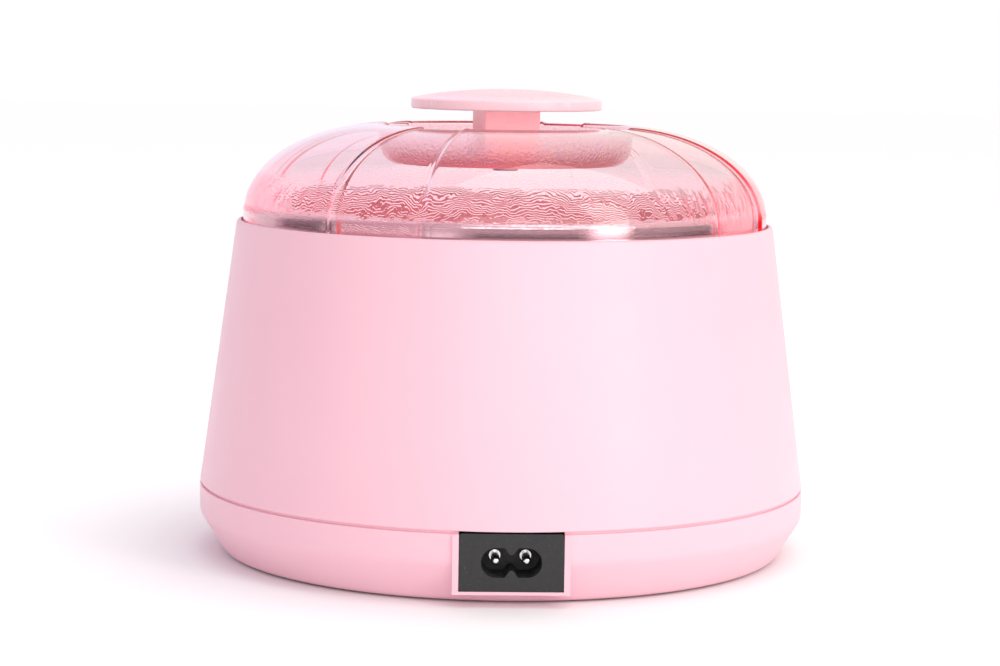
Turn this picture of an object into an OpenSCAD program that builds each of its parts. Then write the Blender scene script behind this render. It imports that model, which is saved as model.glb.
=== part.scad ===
// Salon wax warmer: a conical heated housing, a lift-out pot and a petalled clear lid.
// Millimetres. +Z is up, the origin is the middle of the base at table height.
// -Y is the rear, with the mains inlet. +Y is the front, with the temperature dial.

/* [Housing] */
// Largest radius, at the seam
seam_r = 92.3; // [92:0.1:92.8]
// Height of the seam between housing and bottom cover
seam_z = 21; // [20.8:0.1:21.2]
// Height of the seam groove
seam_gap = 0.8; // [0.5:0.1:1.2]
// Depth of the seam groove
seam_depth = 0.9; // [0.5:0.1:1.2]
// Height of the housing's top edge
top_z = 100.7; // [100.2:0.1:101.2]
// Radius lost for each millimetre of height
cone_slope = 0.1365; // [0.134:0.0005:0.138]
// Wall thickness of the mouldings
wall = 2.5; // [2.2:0.1:2.7]

/* [Bottom cover] */
// Height of the flat underside above the table
ground_gap = 0.5; // [0.3:0.1:0.8]
// Height where the chamfer meets the upright side
chamfer_top_z = 12.4; // [11.5:0.1:12.8]
// Radius of the chamfer's lower end, at table height
chamfer_base_r = 84.7; // [84.2:0.1:86]
// Radius of each rubber foot
foot_r = 7; // [6:0.5:8]
// Distance of the feet from the middle
foot_ring_r = 72; // [68:1:74]

/* [Mains inlet] */
// Width of the inlet's face
inlet_w = 29; // [28:0.1:29.5]
// Height of the inlet's face
inlet_h = 16.1; // [15.5:0.1:16.2]
// Height of the inlet's middle
inlet_z = 12.8; // [12.6:0.1:12.9]
// Distance of the inlet's face from the middle
inlet_face_y = 91.6; // [91.2:0.1:92.2]
// Distance between the pins' axes
pin_spacing = 8.6; // [8.5:0.1:8.7]
// Radius of each pin
pin_r = 1.2; // [1.15:0.01:1.25]
// Free length of each pin
pin_length = 9.2; // [8.5:0.1:9.8]
// Depth of the socket
socket_depth = 11.5; // [11:0.1:12]

/* [Lid] */
// Number of wide petals, with a narrow panel after each
petals = 4; // [4]
// Angle that one narrow panel spans
panel_angle = 21; // [18:0.5:24]
// Direction of the first narrow panel
panel_first = -120; // [-125:1:-115]
// Radius of the lid's bottom band
lid_r = 79.6; // [79.4:0.1:79.8]
// Recess of a narrow panel at the bottom edge
panel_recess = 1.6; // [1.4:0.1:1.6]
// Radius of the dome's centre of curvature
dome_centre_r = 36; // [35.5:0.1:36.5]
// Height of the dome's centre of curvature
dome_centre_z = 103; // [102.5:0.1:103.5]
// Rise of the dome above that centre
dome_rise = 27; // [26:0.1:27.5]
// Radius of the sunken middle
crater_r = 36; // [35.5:0.1:36.5]
// Height of the sunken middle's floor
crater_z = 120; // [119:0.1:120.5]
// Wall thickness of the lid
lid_wall = 1.8; // [1.6:0.1:1.9]

/* [Knob] */
// Radius of the knob's disc
knob_r = 29; // [28:0.5:30]
// Height of the disc's flat underside
knob_z = 134.8; // [134.5:0.1:136]
// Height of the disc's upright edge
knob_edge = 3.1; // [2.8:0.1:3.6]
// Rise of the domed top
knob_rise = 2.9; // [2.5:0.1:3.5]
// Side of the square stem
stem_side = 17.4; // [16.8:0.1:17.8]
// Turn of the stem about the upright axis
stem_turn = 11; // [0:1:20]
// Direction of the first notch in the disc's edge
notch_first = -146; // [-150:1:-140]

/* [Pot] */
// Outer radius of the pot's rolled rim
pot_rim_r = 76.4; // [76.2:0.1:76.4]
// Height of the top of the rim
pot_rim_z = 104.7; // [104.2:0.1:105]
// Outer radius of the bowl just under the rim
pot_neck_r = 71.2; // [71:0.1:71.3]
// Height of the underside of the bowl
pot_base_z = 44.5; // [44:0.5:46]
// Radius lost by the bowl for each millimetre of depth
pot_taper = 0.07; // [0.05:0.005:0.07]
// Sheet thickness of the pot
pot_wall = 1.5; // [1.2:0.1:1.6]

/* [Heater] */
// Gap between the pot and the chamber that heats it
chamber_gap = 0.6; // [0.5:0.05:0.6]
// Wall thickness of the heating chamber
chamber_wall = 1.2; // [1:0.1:1.2]
// Thickness of the band heater
band_wall = 2; // [1.5:0.1:2]
// Thickness of the insulation
insulation_wall = 3; // [2:0.1:3]

/* [Controls] */
// Height of the temperature dial's axis
dial_z = 42; // [41:0.5:43]
// Radius of the dial
dial_r = 13; // [12:0.5:13]
// Radius of the round well that the dial sits in
well_r = 18.5; // [18.5:0.1:19]
// Distance of the well's floor from the middle
well_y = 84; // [83.8:0.1:84.2]
// Height of the indicator lamp
lamp_z = 70; // [68:0.5:72]

/* [Electronics] */
// Width of the control board
board_w = 80; // [78:1:82]
// Depth of the control board
board_d = 56; // [56]
// Height of the board's underside
board_z = 12; // [11:0.5:12]

/* [Hidden] */
$fn = 96;

pink = "pink";
clear_pink = [0.98, 0.72, 0.76, 0.45];
bright_metal = "silver";
steel = "lightsteelblue";
charcoal = "dimgray";
tiny = 0.01;

// Housing levels and radii
housing_low_z = seam_z + seam_gap / 2;
cover_rim_z = seam_z - seam_gap / 2;
groove_r = seam_r - seam_depth;
top_r = seam_r - cone_slope * (top_z - seam_z);
lid_seat_z = top_z - 1.8;
lid_seat_r = top_r - 1.3;
flange_seat_z = top_z - 4.3;
flange_seat_r = pot_rim_r + 0.4;
throat_r = 73.8;
ledge_low_z = 93.4;

// Screw posts that join the two mouldings, mirrored about both axes
post_x = 27;
post_y = 74.2;
post_r = 4;
post_top_z = 50;

// Bottom cover
floor_top_z = ground_gap + wall;
tongue_r = seam_r - wall - 0.9;
frame_side = 1.85;
opening_play = 0.1;
collar_r = pin_r + 0.4;

// Lid
petal_angle = 360 / petals - panel_angle;
lid_bottom_z = lid_seat_z + 0.02;
crest_r = 40.35;
well_rim_r = crater_r + 3.2;
fit_gap = 0.02;
band_top_z = 104.7;
dome_width = lid_r - dome_centre_r;
panel_r = lid_r - panel_recess;
panel_width = panel_r - dome_centre_r;
panel_rise = dome_rise - 1;
panel_wall = 1.2;

// Pot and heater, all on one taper
chamber_base_z = pot_base_z - chamber_gap - chamber_wall;
pot_base_r = pot_r(pot_base_z);
boss_low_z = chamber_base_z - 5;
shield_z = 31;
shield_r = 64;
bracket_screw_r = 77.4;
gasket_h = 0.8;
flange_low_z = flange_seat_z + gasket_h;
flange_h = 1.5;
insulation_low_z = 53;
insulation_high_z = 82;
insulation_open = 22;
board_top_z = board_z + 1.6;
board_y = 5;
block_y = -23;
block_hole_z = 18;

function cone_r(z) = seam_r - cone_slope * (z - seam_z);
function pot_r(z) = pot_neck_r - pot_taper * (99 - z);
function chamber_r(z) = pot_r(z) + chamber_gap + chamber_wall;
function polar(r, a) = [r * cos(a), r * sin(a)];
function unit(v) = v / norm(v);
function turn_between(a, b) = let(d = b - a) d > 180 ? d - 360 : d < -180 ? d + 360 : d;

// The points of one rounded corner of an outline
function corner(a, b, c, r, n) =
    let(
        u = unit(a - b),
        v = unit(c - b),
        half = acos(u * v) / 2,
        middle = b + unit(u + v) * r / sin(half),
        start = b + u * r / tan(half) - middle,
        end = b + v * r / tan(half) - middle,
        from = atan2(start[1], start[0]),
        sweep = turn_between(from, atan2(end[1], end[0]))
    )
    [for (i = [0:n]) middle + polar(r, from + sweep * i / n)];

// An outline from [x, y, corner radius] points
function rounded(p, n = 5) = [
    for (i = [0:len(p) - 1])
        let(
            here = p[i],
            before = p[(i + len(p) - 1) % len(p)],
            after = p[(i + 1) % len(p)]
        )
        each here[2] > 0
            ? corner([before[0], before[1]], [here[0], here[1]], [after[0], after[1]], here[2], n)
            : [[here[0], here[1]]]
];

// Part of an ellipse
function ellipse_arc(centre, rx, ry, from, to, n) = [
    for (i = [0:n])
        let(a = from + (to - from) * i / n)
        centre + [rx * cos(a), ry * sin(a)]
];

// Route of a lead: a smooth curve through its points
function curve_point(a, b, c, d, t) =
    0.5 * (
        2 * b + (c - a) * t + (2 * a - 5 * b + 4 * c - d) * t * t + (3 * b - a - 3 * c + d) * t * t * t
    );
function smooth(p, n = 5) = [
    for (i = [0:len(p) - 2])
        for (j = [0:n - 1])
            curve_point(p[max(i - 1, 0)], p[i], p[i + 1], p[min(i + 2, len(p) - 1)], j / n),
    p[len(p) - 1]
];

// A round lead swept along its route
module lead(points, r, up = [0.31, 0.2, 0.93]) {
    sides = 8;
    route = smooth(points);
    last = len(route) - 1;
    rings = [
        for (i = [0:last])
            let(
                along = unit(route[min(i + 1, last)] - route[max(i - 1, 0)]),
                across = unit(cross(along, up)),
                over = cross(across, along)
            )
            for (k = [0:sides - 1])
                route[i] + across * r * cos(360 * k / sides) + over * r * sin(360 * k / sides)
    ];
    skin = [
        for (i = [0:last - 1])
            for (k = [0:sides - 1])
                let(next = (k + 1) % sides)
                [i * sides + k, (i + 1) * sides + k, (i + 1) * sides + next, i * sides + next]
    ];
    first_cap = [for (k = [0:sides - 1]) k];
    last_cap = [for (k = [sides - 1:-1:0]) last * sides + k];
    polyhedron(points = rings, faces = concat(skin, [first_cap, last_cap]));
}

module ring(outer_r, inner_r, h) {
    difference() {
        cylinder(r = outer_r, h = h);
        translate([0, 0, -1])
            cylinder(r = inner_r, h = h + 2);
    }
}

module box(low, high) {
    translate(low)
        cube(high - low);
}

// A screw standing on its tip: pan head on top, cross recess in it
module pan_screw(shank_r, length, head_r, head_h) {
    difference() {
        union() {
            translate([0, 0, -length])
                cylinder(r = shank_r, h = length);
            rotate_extrude()
                polygon(rounded([[0, 0, 0], [head_r, 0, 0], [head_r, head_h, head_h * 0.6], [0, head_h, 0]]));
        }
        for (a = [0, 90])
            rotate(a)
                translate([-head_r * 0.6, -head_r * 0.12, head_h * 0.4])
                    cube([head_r * 1.2, head_r * 0.24, head_h]);
    }
}

module at_posts() {
    for (x = [-post_x, post_x])
        for (y = [-post_y, post_y])
            translate([x, y, 0])
                children();
}

module at_feet() {
    for (a = [45:90:315])
        rotate(a)
            translate([foot_ring_r, 0, 0])
                children();
}

module at_board_corners() {
    for (x = [-1, 1])
        for (y = [-1, 1])
            translate([x * (board_w / 2 - 4), board_y + y * (board_d / 2 - 4), 0])
                children();
}

module at_brackets() {
    for (a = [60, 180, 300])
        rotate(a)
            children();
}

// Stands children on the front wall, with their +Z pointing out to the front
module facing_front(y, z) {
    translate([0, y, z])
        rotate([-90, 0, 0])
            children();
}

// Stands children on the lamp's axis, square to the sloping wall
module on_lamp_axis() {
    translate([0, cone_r(lamp_z), lamp_z])
        rotate([-90 + atan(cone_slope), 0, 0])
            children();
}

// ---- Mouldings ----

module housing_shape(shrink) {
    rotate_extrude()
        polygon([
            [0, housing_low_z - 2],
            [cone_r(housing_low_z - 2) - shrink, housing_low_z - 2],
            [cone_r(top_z) - shrink, top_z],
            [0, top_z]
        ]);
}

module upper_housing() {
    inner = wall * sqrt(1 + cone_slope * cone_slope);
    color(pink)
        difference() {
            union() {
                rotate_extrude()
                    polygon(rounded([
                        [cone_r(housing_low_z), housing_low_z, 0.3],
                        [top_r, top_z, 1],
                        [lid_seat_r, top_z, 0.3],
                        [lid_seat_r, lid_seat_z, 0],
                        [flange_seat_r, lid_seat_z, 0],
                        [flange_seat_r, flange_seat_z, 0],
                        [throat_r, flange_seat_z, 0],
                        [throat_r, ledge_low_z, 0],
                        [cone_r(ledge_low_z) - inner, ledge_low_z, 0.5],
                        [cone_r(cover_rim_z) - inner, cover_rim_z, 0],
                        [groove_r, cover_rim_z, 0],
                        [groove_r, housing_low_z, 0]
                    ]));
                intersection() {
                    facing_front(well_y - 2.3, dial_z)
                        cylinder(r = well_r + 2, h = 12);
                    housing_shape(0.5);
                }
                at_posts()
                    translate([0, 0, housing_low_z + 2.6])
                        cylinder(r = post_r, h = post_top_z - housing_low_z - 2.6);
                for (side = [0, 180])
                    for (a = [atan2(post_y, post_x), atan2(post_y, -post_x)])
                        rotate(a + side)
                            post_rib();
                for (a = [0:45:315])
                    rotate(a + 9)
                        ledge_rib();
            }
            facing_front(well_y, dial_z)
                cylinder(r = well_r, h = 12);
            facing_front(well_y - 4, dial_z)
                cylinder(r = 3.55, h = 6);
            on_lamp_axis()
                translate([0, 0, -6])
                    cylinder(r = 2.55, h = 8);
            at_posts()
                translate([0, 0, housing_low_z])
                    cylinder(r = 1.25, h = 22);
            at_brackets()
                translate([bracket_screw_r, 0, ledge_low_z - 1])
                    cylinder(r = 1, h = 3.8);
            box(
                [-inlet_w / 2 - opening_play, -95, seam_z - 3],
                [inlet_w / 2 + opening_play, -80, housing_low_z]
            );
            dial_marks();
        }
}

module post_rib() {
    rib = 2;
    rotate([90, 0, 0])
        translate([0, 0, -rib / 2])
            linear_extrude(rib)
                polygon([
                    [79, housing_low_z + 4],
                    [cone_r(housing_low_z + 4) - 1, housing_low_z + 4],
                    [cone_r(post_top_z) - 1, post_top_z],
                    [79, post_top_z]
                ]);
}

module ledge_rib() {
    rib = 1.6;
    rotate([90, 0, 0])
        translate([0, 0, -rib / 2])
            linear_extrude(rib)
                polygon([
                    [75, ledge_low_z + 1],
                    [75, ledge_low_z],
                    [cone_r(84) - 2, 84],
                    [cone_r(ledge_low_z) - 1, ledge_low_z + 1]
                ]);
}

// Small round dimples that mark the dial's range on the well's floor
module dial_marks() {
    for (i = [0:9])
        facing_front(well_y - 0.4, dial_z)
            rotate(-135 + 30 * i - 90)
                translate([well_r - 2.4, 0, 0])
                    cylinder(r = 0.7, h = 2);
}

module bottom_cover() {
    slope = (seam_r - chamfer_base_r) / chamfer_top_z;
    low_r = chamfer_base_r + slope * ground_gap;
    color(pink)
        difference() {
            union() {
                rotate_extrude()
                    polygon(rounded([
                        [0, ground_gap, 0],
                        [low_r, ground_gap, 3],
                        [seam_r, chamfer_top_z, 5],
                        [seam_r, cover_rim_z, 0.3],
                        [tongue_r, cover_rim_z, 0],
                        [tongue_r, cover_rim_z + 4, 0.4],
                        [tongue_r - 1.4, cover_rim_z + 4, 0.4],
                        [tongue_r - 1.4, chamfer_top_z + 1, 4],
                        [low_r - 1.5, floor_top_z, 2],
                        [0, floor_top_z, 0]
                    ]));
                inlet_frame();
                at_posts()
                    translate([0, 0, ground_gap + 1])
                        cylinder(r = 5, h = housing_low_z + 2.4 - ground_gap - 1);
                at_board_corners()
                    translate([0, 0, ground_gap + 1])
                        cylinder(r = 3, h = board_z - ground_gap - 1);
                at_feet()
                    translate([0, 0, ground_gap + 1])
                        cylinder(r = foot_r + 1.5, h = wall + 0.3);
            }
            box(
                [-inlet_w / 2 - opening_play, -96, inlet_z - inlet_h / 2 - opening_play],
                [inlet_w / 2 + opening_play, -76, housing_low_z + 9]
            );
            at_posts()
                translate([0, 0, ground_gap - 1])
                    cylinder(r = 3.4, h = 12.5);
            at_posts()
                cylinder(r = 1.75, h = 40);
            at_board_corners()
                translate([0, 0, ground_gap + 2])
                    cylinder(r = 1.25, h = board_z);
            at_feet()
                translate([0, 0, ground_gap - 1])
                    cylinder(r = foot_r + 0.2, h = 2.6);
            box([-13, 82, cover_rim_z - 0.4], [13, tongue_r + 0.05, cover_rim_z + 5]);
            for (side = [-1, 1])
                for (i = [-2:2])
                    translate([side * 58, i * 8, 0])
                        vent_slot();
        }
}

module vent_slot() {
    slot_w = 2.6;
    slot_l = 20;
    translate([-slot_l / 2, -slot_w / 2, ground_gap - 1])
        cube([slot_l, slot_w, wall + 2]);
    for (x = [-slot_l / 2, slot_l / 2])
        translate([x, 0, ground_gap - 1])
            cylinder(r = slot_w / 2, h = wall + 2);
}

// The flat frame that stands proud of the shell on three sides of the inlet
module inlet_frame() {
    half = inlet_w / 2 + frame_side;
    low = inlet_z - inlet_h / 2 - 1;
    difference() {
        box([-half, -inlet_face_y, low], [half, -77, cover_rim_z]);
        box([-half - 1, -88, floor_top_z], [-inlet_w / 2 - 1.8, -70, cover_rim_z + 1]);
        box([inlet_w / 2 + 1.8, -88, floor_top_z], [half + 1, -70, cover_rim_z + 1]);
    }
}

module rubber_feet() {
    color(charcoal)
        at_feet()
            rotate_extrude()
                polygon(rounded([
                    [0, 0, 0],
                    [foot_r - 1, 0, 0.5],
                    [foot_r, ground_gap + 0.6, 0],
                    [foot_r, ground_gap + 1.6, 0],
                    [0, ground_gap + 1.6, 0]
                ]));
}

module base_screws() {
    color(steel)
        at_posts()
            translate([0, 0, ground_gap + 11.5])
                mirror([0, 0, 1])
                    pan_screw(1.25, 24, 3, 2.2);
}

// ---- Mains inlet ----

module rounded_block(w, d, r) {
    for (x = [-1, 1])
        for (y = [-1, 1])
            translate([x * (w / 2 - r), y * (d / 2 - r)])
                circle(r);
    square([w - 2 * r, d], center = true);
    square([w, d - 2 * r], center = true);
}

// Stands children on the rear face of the inlet, with +Z pointing out to the rear and +Y up
module facing_rear(y) {
    translate([0, -y, inlet_z])
        rotate([90, 0, 0])
            children();
}

module socket_outline() {
    lobe_r = 4.15;
    lobe_x = 4.3;
    notch_mouth = 1.83;
    notch_floor = 0.45;
    notch_depth = 1.95;
    difference() {
        union() {
            for (x = [-lobe_x, lobe_x])
                translate([x, 0])
                    circle(lobe_r);
            square([2 * lobe_x, 2 * lobe_r], center = true);
        }
        for (side = [-1, 1])
            polygon([
                [-notch_mouth - 0.5, side * (lobe_r + 0.53)],
                [notch_mouth + 0.5, side * (lobe_r + 0.53)],
                [notch_floor, side * (lobe_r - notch_depth)],
                [-notch_floor, side * (lobe_r - notch_depth)]
            ]);
    }
}

module inlet_body() {
    color(charcoal)
        difference() {
            union() {
                facing_rear(inlet_face_y - 4)
                    linear_extrude(4)
                        rounded_block(inlet_w, inlet_h, 1);
                facing_rear(inlet_face_y - 15.6)
                    linear_extrude(12)
                        rounded_block(inlet_w - 3, inlet_h - 2.4, 1);
            }
            facing_rear(inlet_face_y - socket_depth)
                linear_extrude(socket_depth + 1)
                    socket_outline();
            for (x = [-pin_spacing / 2, pin_spacing / 2])
                translate([x, 0, 0])
                    facing_rear(inlet_face_y - 20)
                        cylinder(r = collar_r, h = 15);
        }
}

module inlet_pins() {
    tip_back = socket_depth - pin_length;
    back_y = inlet_face_y - 15.6;
    collar_y = inlet_face_y - socket_depth + 0.3;
    tab_w = 4.8;
    tab_t = 0.8;
    tab_l = 8;
    color(bright_metal)
        for (x = [-pin_spacing / 2, pin_spacing / 2])
            translate([x, 0, 0]) {
                facing_rear(back_y)
                    rotate_extrude()
                        polygon(rounded([
                            [0, 0, 0],
                            [collar_r, 0, 0],
                            [collar_r, collar_y - back_y, 0],
                            [pin_r, collar_y - back_y, 0],
                            [pin_r, inlet_face_y - tip_back - back_y, pin_r * 0.9],
                            [0, inlet_face_y - tip_back - back_y, 0]
                        ], 8));
                box(
                    [-tab_t / 2, -back_y, inlet_z - tab_w / 2],
                    [tab_t / 2, tab_l - back_y, inlet_z + tab_w / 2]
                );
            }
}

module terminal_sleeves() {
    back_y = inlet_face_y - 15.6;
    color("gold")
        for (x = [-pin_spacing / 2, pin_spacing / 2])
            translate([x, 0, 0])
                difference() {
                    box([-1.2, 1.5 - back_y, inlet_z - 3], [1.2, 11.5 - back_y, inlet_z + 3]);
                    box([-0.4, 1 - back_y, inlet_z - 2.4], [0.4, 8 - back_y, inlet_z + 2.4]);
                }
}

// ---- Lid ----

// Points of the dome from a height up to a radius, on an ellipse about the dome's centre of curvature
function dome_arc(width, rise, low_z, top_r, n) = ellipse_arc(
    [dome_centre_r, dome_centre_z],
    width,
    rise,
    asin((low_z - dome_centre_z) / rise),
    acos((top_r - dome_centre_r) / width),
    n
);
function reversed(p) = [for (i = [len(p) - 1:-1:0]) p[i]];

// Half section of the lid's dome at the level of the narrow panels
module panel_section() {
    rim_z = dome_centre_z + panel_rise;
    polygon(concat(
        [[panel_r - panel_wall, lid_bottom_z + 0.3], [panel_r, lid_bottom_z + 0.3]],
        dome_arc(panel_width, panel_rise, dome_centre_z + 0.5, crest_r, 20),
        [[well_rim_r, rim_z - 0.4], [well_rim_r, rim_z - lid_wall - 0.6]],
        reversed(dome_arc(
            panel_width - panel_wall, panel_rise - lid_wall, dome_centre_z + 0.5, crest_r, 16
        ))
    ));
}

// Half section of one raised petal, whose inner side is buried in the dome's wall
module petal_section() {
    rim_z = dome_centre_z + dome_rise;
    buried = panel_wall / 2;
    polygon(concat(
        [
            [panel_r - buried, lid_bottom_z],
            [lid_r, lid_bottom_z],
            [lid_r, band_top_z - 0.2],
            [lid_r - 0.15, band_top_z]
        ],
        dome_arc(dome_width - 0.1, dome_rise, band_top_z + 0.7, crest_r, 20),
        [[well_rim_r, rim_z - 0.3], [well_rim_r, rim_z - lid_wall - 0.2]],
        reversed(dome_arc(
            panel_width - buried, panel_rise - lid_wall / 2, dome_centre_z + 0.5, crest_r, 16
        ))
    ));
}

module lid() {
    color(clear_pink)
        union() {
            rotate_extrude()
                panel_section();
            for (i = [0:petals - 1])
                rotate(panel_first + panel_angle / 2 + 360 / petals * i)
                    rotate_extrude(angle = petal_angle)
                        petal_section();
        }
}

// The sunken middle of the lid, which carries the knob
module lid_well() {
    rim_z = dome_centre_z + panel_rise;
    outer_r = crater_r + lid_wall;
    color(clear_pink)
        rotate_extrude()
            polygon([
                [well_rim_r - fit_gap, rim_z - 0.4],
                [crater_r + 0.9, rim_z - 1.6],
                [crater_r, crater_z + 1],
                [crater_r - 1, crater_z],
                [2.2, crater_z],
                [2.2, crater_z - lid_wall],
                [outer_r - 0.6, crater_z - lid_wall],
                [outer_r, crater_z - lid_wall + 0.6],
                [outer_r + 0.6, rim_z - lid_wall - 1.2],
                [well_rim_r - fit_gap, rim_z - lid_wall - 0.6]
            ]);
}

module lid_knob() {
    dome_r = (knob_r * knob_r + knob_rise * knob_rise) / (2 * knob_rise);
    edge_top = knob_z + knob_edge;
    notch_r = 5;
    color(pink)
        difference() {
            union() {
                difference() {
                    rotate_extrude()
                        polygon(concat(
                            [[0, knob_z], [knob_r - 0.4, knob_z], [knob_r, knob_z + 0.4]],
                            corner([knob_r, knob_z], [knob_r, edge_top], [0, edge_top + knob_rise], 0.5, 3),
                            [
                                for (i = [1:10])
                                    let(r = (knob_r - 1) * (1 - i / 10))
                                    [r, edge_top + knob_rise - dome_r + sqrt(dome_r * dome_r - r * r)]
                            ]
                        ));
                    for (i = [0:3])
                        rotate(notch_first + 90 * i)
                            translate([knob_r + notch_r - 0.6, 0, knob_z - 1])
                                cylinder(r = notch_r, h = 10);
                }
                rotate(stem_turn)
                    translate([0, 0, crater_z])
                        linear_extrude(knob_z - crater_z + 1)
                            rounded_block(stem_side, stem_side, 0.8);
            }
            translate([0, 0, crater_z - 1])
                cylinder(r = 1.6, h = 13);
        }
}

module knob_washer() {
    color(charcoal)
        translate([0, 0, crater_z - lid_wall - 0.5])
            ring(5, 2.2, 0.5);
}

module knob_screw() {
    color(steel)
        translate([0, 0, crater_z - lid_wall - 0.5])
            mirror([0, 0, 1])
                pan_screw(1.6, 11.5, 4, 1.3);
}

// ---- Pot and heating chamber ----

module wax_pot() {
    inner_top_r = pot_neck_r - pot_wall;
    color(bright_metal)
        rotate_extrude()
            polygon(rounded([
                [0, pot_base_z, 0],
                [pot_base_r, pot_base_z, 9],
                [pot_neck_r, 99, 2],
                [pot_neck_r, pot_rim_z - pot_wall, 0.8],
                [pot_rim_r - pot_wall, pot_rim_z - pot_wall, 0.8],
                [pot_rim_r - pot_wall, flange_low_z + flange_h, 0],
                [pot_rim_r, flange_low_z + flange_h, 0.4],
                [pot_rim_r, pot_rim_z, 1.2],
                [inner_top_r, pot_rim_z, 1.2],
                [inner_top_r, 99, 2],
                [pot_base_r - pot_wall, pot_base_z + pot_wall, 7.5],
                [0, pot_base_z + pot_wall, 0]
            ]));
}

module heating_chamber() {
    flange_top_z = flange_low_z + flange_h;
    flange_r = pot_rim_r;
    color("gainsboro")
        difference() {
            union() {
                rotate_extrude()
                    polygon(rounded([
                        [0, chamber_base_z, 0],
                        [chamber_r(chamber_base_z), chamber_base_z, 10.8],
                        [chamber_r(96), 96, 0],
                        [chamber_r(96), flange_low_z, 0],
                        [flange_r, flange_low_z, 0],
                        [flange_r, flange_top_z, 0],
                        [pot_neck_r + chamber_gap, flange_top_z, 0],
                        [pot_r(96) + chamber_gap, 96, 0],
                        [pot_r(pot_base_z) + chamber_gap, pot_base_z - chamber_gap, 9.6],
                        [0, pot_base_z - chamber_gap, 0]
                    ]));
                for (p = [[-20, 8, boss_low_z], [-20, -17, 35]])
                    translate(p)
                        cylinder(r = 4, h = chamber_base_z + tiny - p[2]);
                translate([0, 0, shield_z + 0.8])
                    cylinder(r = 5, h = chamber_base_z + tiny - shield_z - 0.8);
                box([-27, -12.4, 39], [-13, -7.6, chamber_base_z + tiny]);
            }
            for (p = [[-20, 8], [-20, -17]])
                translate([p[0], p[1], 30])
                    cylinder(r = 1.25, h = 12);
            translate([0, 0, 30])
                cylinder(r = 1.6, h = 11);
        }
}

module flange_gasket() {
    color("white")
        translate([0, 0, flange_seat_z])
            ring(pot_rim_r, throat_r + 0.2, gasket_h);
}

module chamber_brackets() {
    plate = 1.2;
    leg_r = chamber_r(ledge_low_z) + 0.05;
    color(steel)
        at_brackets()
            difference() {
                union() {
                    box([leg_r, -5, 84], [leg_r + plate, 5, ledge_low_z]);
                    box([leg_r, -5, ledge_low_z - plate], [bracket_screw_r + 1.8, 5, ledge_low_z]);
                }
                translate([bracket_screw_r, 0, ledge_low_z - 3])
                    cylinder(r = 1.3, h = 5);
            }
}

module bracket_screws() {
    color(steel)
        at_brackets()
            translate([bracket_screw_r, 0, ledge_low_z - 1.2])
                mirror([0, 0, 1])
                    pan_screw(1, 3.6, 1.8, 1.2);
}

// A wall that follows the chamber's taper
module tapered_wall(low_z, high_z, offset_r, thickness, from, sweep) {
    rotate(from)
        rotate_extrude(angle = sweep)
            polygon([
                [chamber_r(low_z) + offset_r, low_z],
                [chamber_r(low_z) + offset_r + thickness, low_z],
                [chamber_r(high_z) + offset_r + thickness, high_z],
                [chamber_r(high_z) + offset_r, high_z]
            ]);
}

module heater_band() {
    color("tan") {
        tapered_wall(56, 74, 0.05, band_wall, 3, 354);
        for (side = [-1, 1]) {
            difference() {
                box(
                    [chamber_r(60) + 1.5, side > 0 ? 3.6 : -4.8, 60],
                    [81, side > 0 ? 4.8 : -3.6, 70]
                );
                translate([77.5, 0, 65])
                    rotate([90, 0, 0])
                        cylinder(r = 2.05, h = 20, center = true);
            }
            rotate(side * 14)
                box([chamber_r(60) + 1, -3, 48], [chamber_r(60) + 2.2, 3, 58]);
        }
    }
}

module band_bolt() {
    color(steel)
        translate([77.5, 0, 65])
            rotate([90, 0, 0]) {
                cylinder(r = 2, h = 16, center = true);
                translate([0, 0, 4.8])
                    cylinder(r = 3.5, h = 2.4, $fn = 6);
                translate([0, 0, -7.2])
                    cylinder(r = 3.5, h = 2.4, $fn = 6);
            }
}

module insulation_wrap() {
    color("ivory")
        tapered_wall(insulation_low_z, insulation_high_z, band_wall + 0.1, insulation_wall, insulation_open,
            360 - 2 * insulation_open);
}

module insulation_ties() {
    color("white")
        for (z = [58, 74])
            tapered_wall(z, z + 4, band_wall + insulation_wall + 0.1, 0.5, insulation_open,
                360 - 2 * insulation_open);
}

module temperature_sensor() {
    color("gold")
        translate([-20, 8, boss_low_z - 1])
            difference() {
                union() {
                    cylinder(r = 4, h = 1);
                    translate([-12, -2.2, -1])
                        cube([9, 4.4, 2]);
                }
                translate([0, 0, -2])
                    cylinder(r = 1.6, h = 4);
            }
}

module thermal_cutoff() {
    color("silver")
        translate([-26, -10, 37])
            rotate([0, 90, 0])
                cylinder(r = 2, h = 12);
}

module cutoff_clamp() {
    color(steel)
        difference() {
            box([-23, -21, 34], [-17, -7.5, 35]);
            translate([-20, -17, 30])
                cylinder(r = 1.6, h = 8);
        }
}

module sensor_screws() {
    color(steel)
        for (p = [[-20, 8, boss_low_z - 1], [-20, -17, 34]])
            translate(p)
                mirror([0, 0, 1])
                    pan_screw(1.25, 5, 2.5, 1.6);
}

module heat_shield() {
    sheet = 0.8;
    color("gainsboro")
        difference() {
            rotate_extrude()
                polygon(rounded([
                    [0, shield_z, 0],
                    [shield_r, shield_z, 2.5],
                    [shield_r, shield_z + 6, 0],
                    [shield_r - sheet, shield_z + 6, 0],
                    [shield_r - sheet, shield_z + sheet, 1.7],
                    [0, shield_z + sheet, 0]
                ]));
            translate([0, 0, shield_z - 1])
                cylinder(r = 2, h = 3);
            translate([-46, 2, shield_z - 1])
                cylinder(r = 5.5, h = 3);
        }
}

module shield_screw() {
    color(steel)
        translate([0, 0, shield_z])
            mirror([0, 0, 1])
                pan_screw(1.6, 8, 3.5, 2);
}

module shield_grommet() {
    color(charcoal)
        translate([-46, 2, shield_z])
            rotate_extrude()
                polygon([
                    [4, -1], [6.8, -1], [6.8, 0], [5.5, 0], [5.5, 0.8], [6.8, 0.8], [6.8, 1.8], [4, 1.8]
                ]);
}

// ---- Control board ----

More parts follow.
